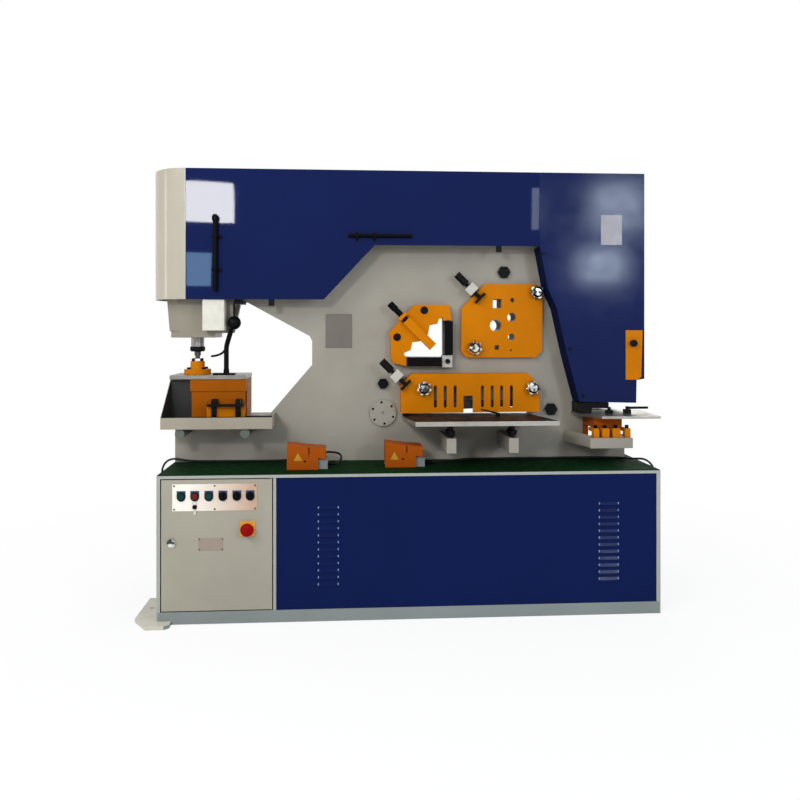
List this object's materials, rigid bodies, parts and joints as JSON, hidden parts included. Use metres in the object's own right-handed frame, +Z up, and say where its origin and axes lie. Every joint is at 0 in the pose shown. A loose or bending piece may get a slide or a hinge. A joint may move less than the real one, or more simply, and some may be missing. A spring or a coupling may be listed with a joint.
{
  "type": "hydraulic ironworker",
  "caption": "Hydraulic ironworker with a punching head over a deep throat, shears for angle, bar and flat steel, a notcher, foot pedals and a control cabinet.",
  "frame": {"origin": "on the floor, under the middle of the base", "axes": "+X to the right along the machine, from the punch to the notcher; +Y to the back; +Z up"},
  "size_m": [2.51, 1.004, 2.088],
  "materials": {
    "blue_paint": "gloss",
    "cream_paint": "satin",
    "frame_paint": "satin",
    "base_paint": "satin",
    "yellow_paint": "satin",
    "orange_paint": "satin",
    "black_paint": "satin",
    "bare_steel": "brushed",
    "tool_steel": "ground",
    "chromed": "polished",
    "legend_metal": "satin",
    "black_plastic": "matt",
    "cream_plastic": "matt",
    "green_button": "gloss",
    "red_button": "gloss",
    "mat_rubber": "ribbed",
    "cable_rubber": "matt"
  },
  "bodies": {
    "frame": {"angle_plate": "yellow_paint", "bar_plate": "yellow_paint", "base_cabinet": "base_paint", "bench_mat": "mat_rubber", "bolster": "yellow_paint", "chip_tray": "base_paint", "die_holder": "yellow_paint", "fixed_blades": "tool_steel", "flat_guard": "yellow_paint", "foot_pedal_housings": "orange_paint", "frame_bolts": "bare_steel", "front_frame_plate": "frame_paint", "gauge_rod_and_clips": "black_paint", "hold_down_blocks": "bare_steel", "left_pedal_cable": "cable_rubber", "notcher_bracket": "frame_paint", "notcher_clamps": "yellow_paint", "notcher_die": "orange_paint", "notcher_table": "bare_steel", "pivot_pin": "frame_paint", "punch_cover": "cream_paint", "punch_cylinder": "cream_paint", "punch_table": "bare_steel", "rear_frame_plate": "frame_paint", "right_cover": "blue_paint", "right_pedal_cable": "cable_rubber", "service_panel": "blue_paint", "shear_cylinder": "frame_paint", "shear_table": "bare_steel", "side_guard": "yellow_paint", "switch_box": "cream_plastic", "table_arms": "frame_paint", "table_fittings": "black_paint", "upper_cover": "blue_paint", "work_lamp": "black_paint"},
    "ram": {"punch_ram": "tool_steel", "punch_tooling": "black_paint", "stroke_rod": "black_paint"},
    "beam": {"shear_beam": "frame_paint", "moving_blades": "tool_steel"},
    "shear_piston": {"shear_piston_rod": "tool_steel"},
    "door": {"cabinet_door": "base_paint", "control_panel": "legend_metal"},
    "lock": {"door_lock": "bare_steel"},
    "start": {"start_button": "green_button"},
    "stop": {"stop_button": "red_button"},
    "jog": {"jog_button": "green_button"},
    "e_stop": {"emergency_stop": "red_button"},
    "pump_switch": {"pump_selector": "black_plastic"},
    "mode_switch": {"mode_selector": "black_plastic"},
    "side_switch": {"side_selector": "black_plastic"},
    "pedal_left": {"left_pedal": "black_paint"},
    "pedal_right": {"right_pedal": "black_paint"},
    "angle_clamp": {"angle_hold_down": "yellow_paint"},
    "bar_clamp": {"bar_hold_down": "bare_steel"},
    "flat_clamp": {"flat_hold_down": "bare_steel"},
    "bar_upper_knob": {"bar_knob_upper": "chromed"},
    "bar_lower_knob": {"bar_knob_lower": "chromed"},
    "guard_left_knob": {"guard_knob_left": "chromed"},
    "guard_right_knob": {"guard_knob_right": "chromed"}
  },
  "joints": [
    {"name": "ram_stroke", "type": "slide", "parent": "frame", "child": "ram", "axis": [0, 0, -1], "range_m": [-0.04, 0.02]},
    {"name": "beam_swing", "type": "hinge", "parent": "frame", "child": "beam", "pos_m": [-0.124, 0, 0.902], "axis": [0, 1, 0], "range_deg": [0, 3.6]},
    {"name": "shear_piston_stroke", "type": "slide", "parent": "frame", "child": "shear_piston", "axis": [0, 0, -1], "range_m": [0, 0.0698]},
    {"name": "door_swing", "type": "hinge", "parent": "frame", "child": "door", "pos_m": [-0.643, -0.434, 0.35], "axis": [0, 0, 1], "range_deg": [0, 110]},
    {"name": "lock_turn", "type": "hinge", "parent": "door", "child": "lock", "pos_m": [-1.084, -0.44, 0.365], "axis": [0, -1, 0], "range_deg": [0, 90]},
    {"name": "start_press", "type": "slide", "parent": "door", "child": "start", "axis": [0, 1, 0], "range_m": [0, 0.004], "stiffness_N_per_m": 600, "springref_m": -0.002},
    {"name": "stop_press", "type": "slide", "parent": "door", "child": "stop", "axis": [0, 1, 0], "range_m": [0, 0.004], "stiffness_N_per_m": 600, "springref_m": -0.002},
    {"name": "jog_press", "type": "slide", "parent": "door", "child": "jog", "axis": [0, 1, 0], "range_m": [0, 0.004], "stiffness_N_per_m": 600, "springref_m": -0.002},
    {"name": "e_stop_press", "type": "slide", "parent": "door", "child": "e_stop", "axis": [0, 1, 0], "range_m": [0, 0.004]},
    {"name": "pump_switch_turn", "type": "hinge", "parent": "door", "child": "pump_switch", "pos_m": [-0.857, -0.45, 0.572], "axis": [0, 1, 0], "range_deg": [-45, 45]},
    {"name": "mode_switch_turn", "type": "hinge", "parent": "door", "child": "mode_switch", "pos_m": [-0.795, -0.45, 0.572], "axis": [0, 1, 0], "range_deg": [-45, 45]},
    {"name": "side_switch_turn", "type": "hinge", "parent": "door", "child": "side_switch", "pos_m": [-0.736, -0.45, 0.572], "axis": [0, 1, 0], "range_deg": [-45, 45]},
    {"name": "pedal_left_press", "type": "hinge", "parent": "frame", "child": "pedal_left", "pos_m": [-0.497, -0.281, 0.706], "axis": [0, -1, 0], "range_deg": [0, 12], "stiffness_Nm_per_rad": 6, "springref_deg": -11.46},
    {"name": "pedal_right_press", "type": "hinge", "parent": "frame", "child": "pedal_right", "pos_m": [-0.039, -0.244, 0.706], "axis": [0, -1, 0], "range_deg": [0, 12], "stiffness_Nm_per_rad": 6, "springref_deg": -11.46},
    {"name": "bar_upper_knob_turn", "type": "hinge", "parent": "frame", "child": "bar_upper_knob", "pos_m": [0.644, -0.125, 1.505], "axis": [0, 1, 0], "continuous": true},
    {"name": "bar_lower_knob_turn", "type": "hinge", "parent": "frame", "child": "bar_lower_knob", "pos_m": [0.33, -0.125, 1.226], "axis": [0, 1, 0], "continuous": true},
    {"name": "guard_left_knob_turn", "type": "hinge", "parent": "frame", "child": "guard_left_knob", "pos_m": [0.074, -0.17, 1.029], "axis": [0, 1, 0], "continuous": true},
    {"name": "guard_right_knob_turn", "type": "hinge", "parent": "frame", "child": "guard_right_knob", "pos_m": [0.614, -0.17, 1.03], "axis": [0, 1, 0], "continuous": true},
    {"name": "angle_clamp_feed", "type": "slide", "parent": "frame", "child": "angle_clamp", "axis": [0.7071, 0, -0.7071], "range_m": [-0.015, 0.04]},
    {"name": "bar_clamp_feed", "type": "slide", "parent": "frame", "child": "bar_clamp", "axis": [0.7071, 0, -0.7071], "range_m": [-0.03, 0.012]},
    {"name": "flat_clamp_feed", "type": "slide", "parent": "frame", "child": "flat_clamp", "axis": [0.7071, 0, -0.7071], "range_m": [-0.03, 0.012]}
  ],
  "couplings": [
    {"joint": "shear_piston_stroke", "follows": "beam_swing", "m_per_rad": 1.109}
  ]
}
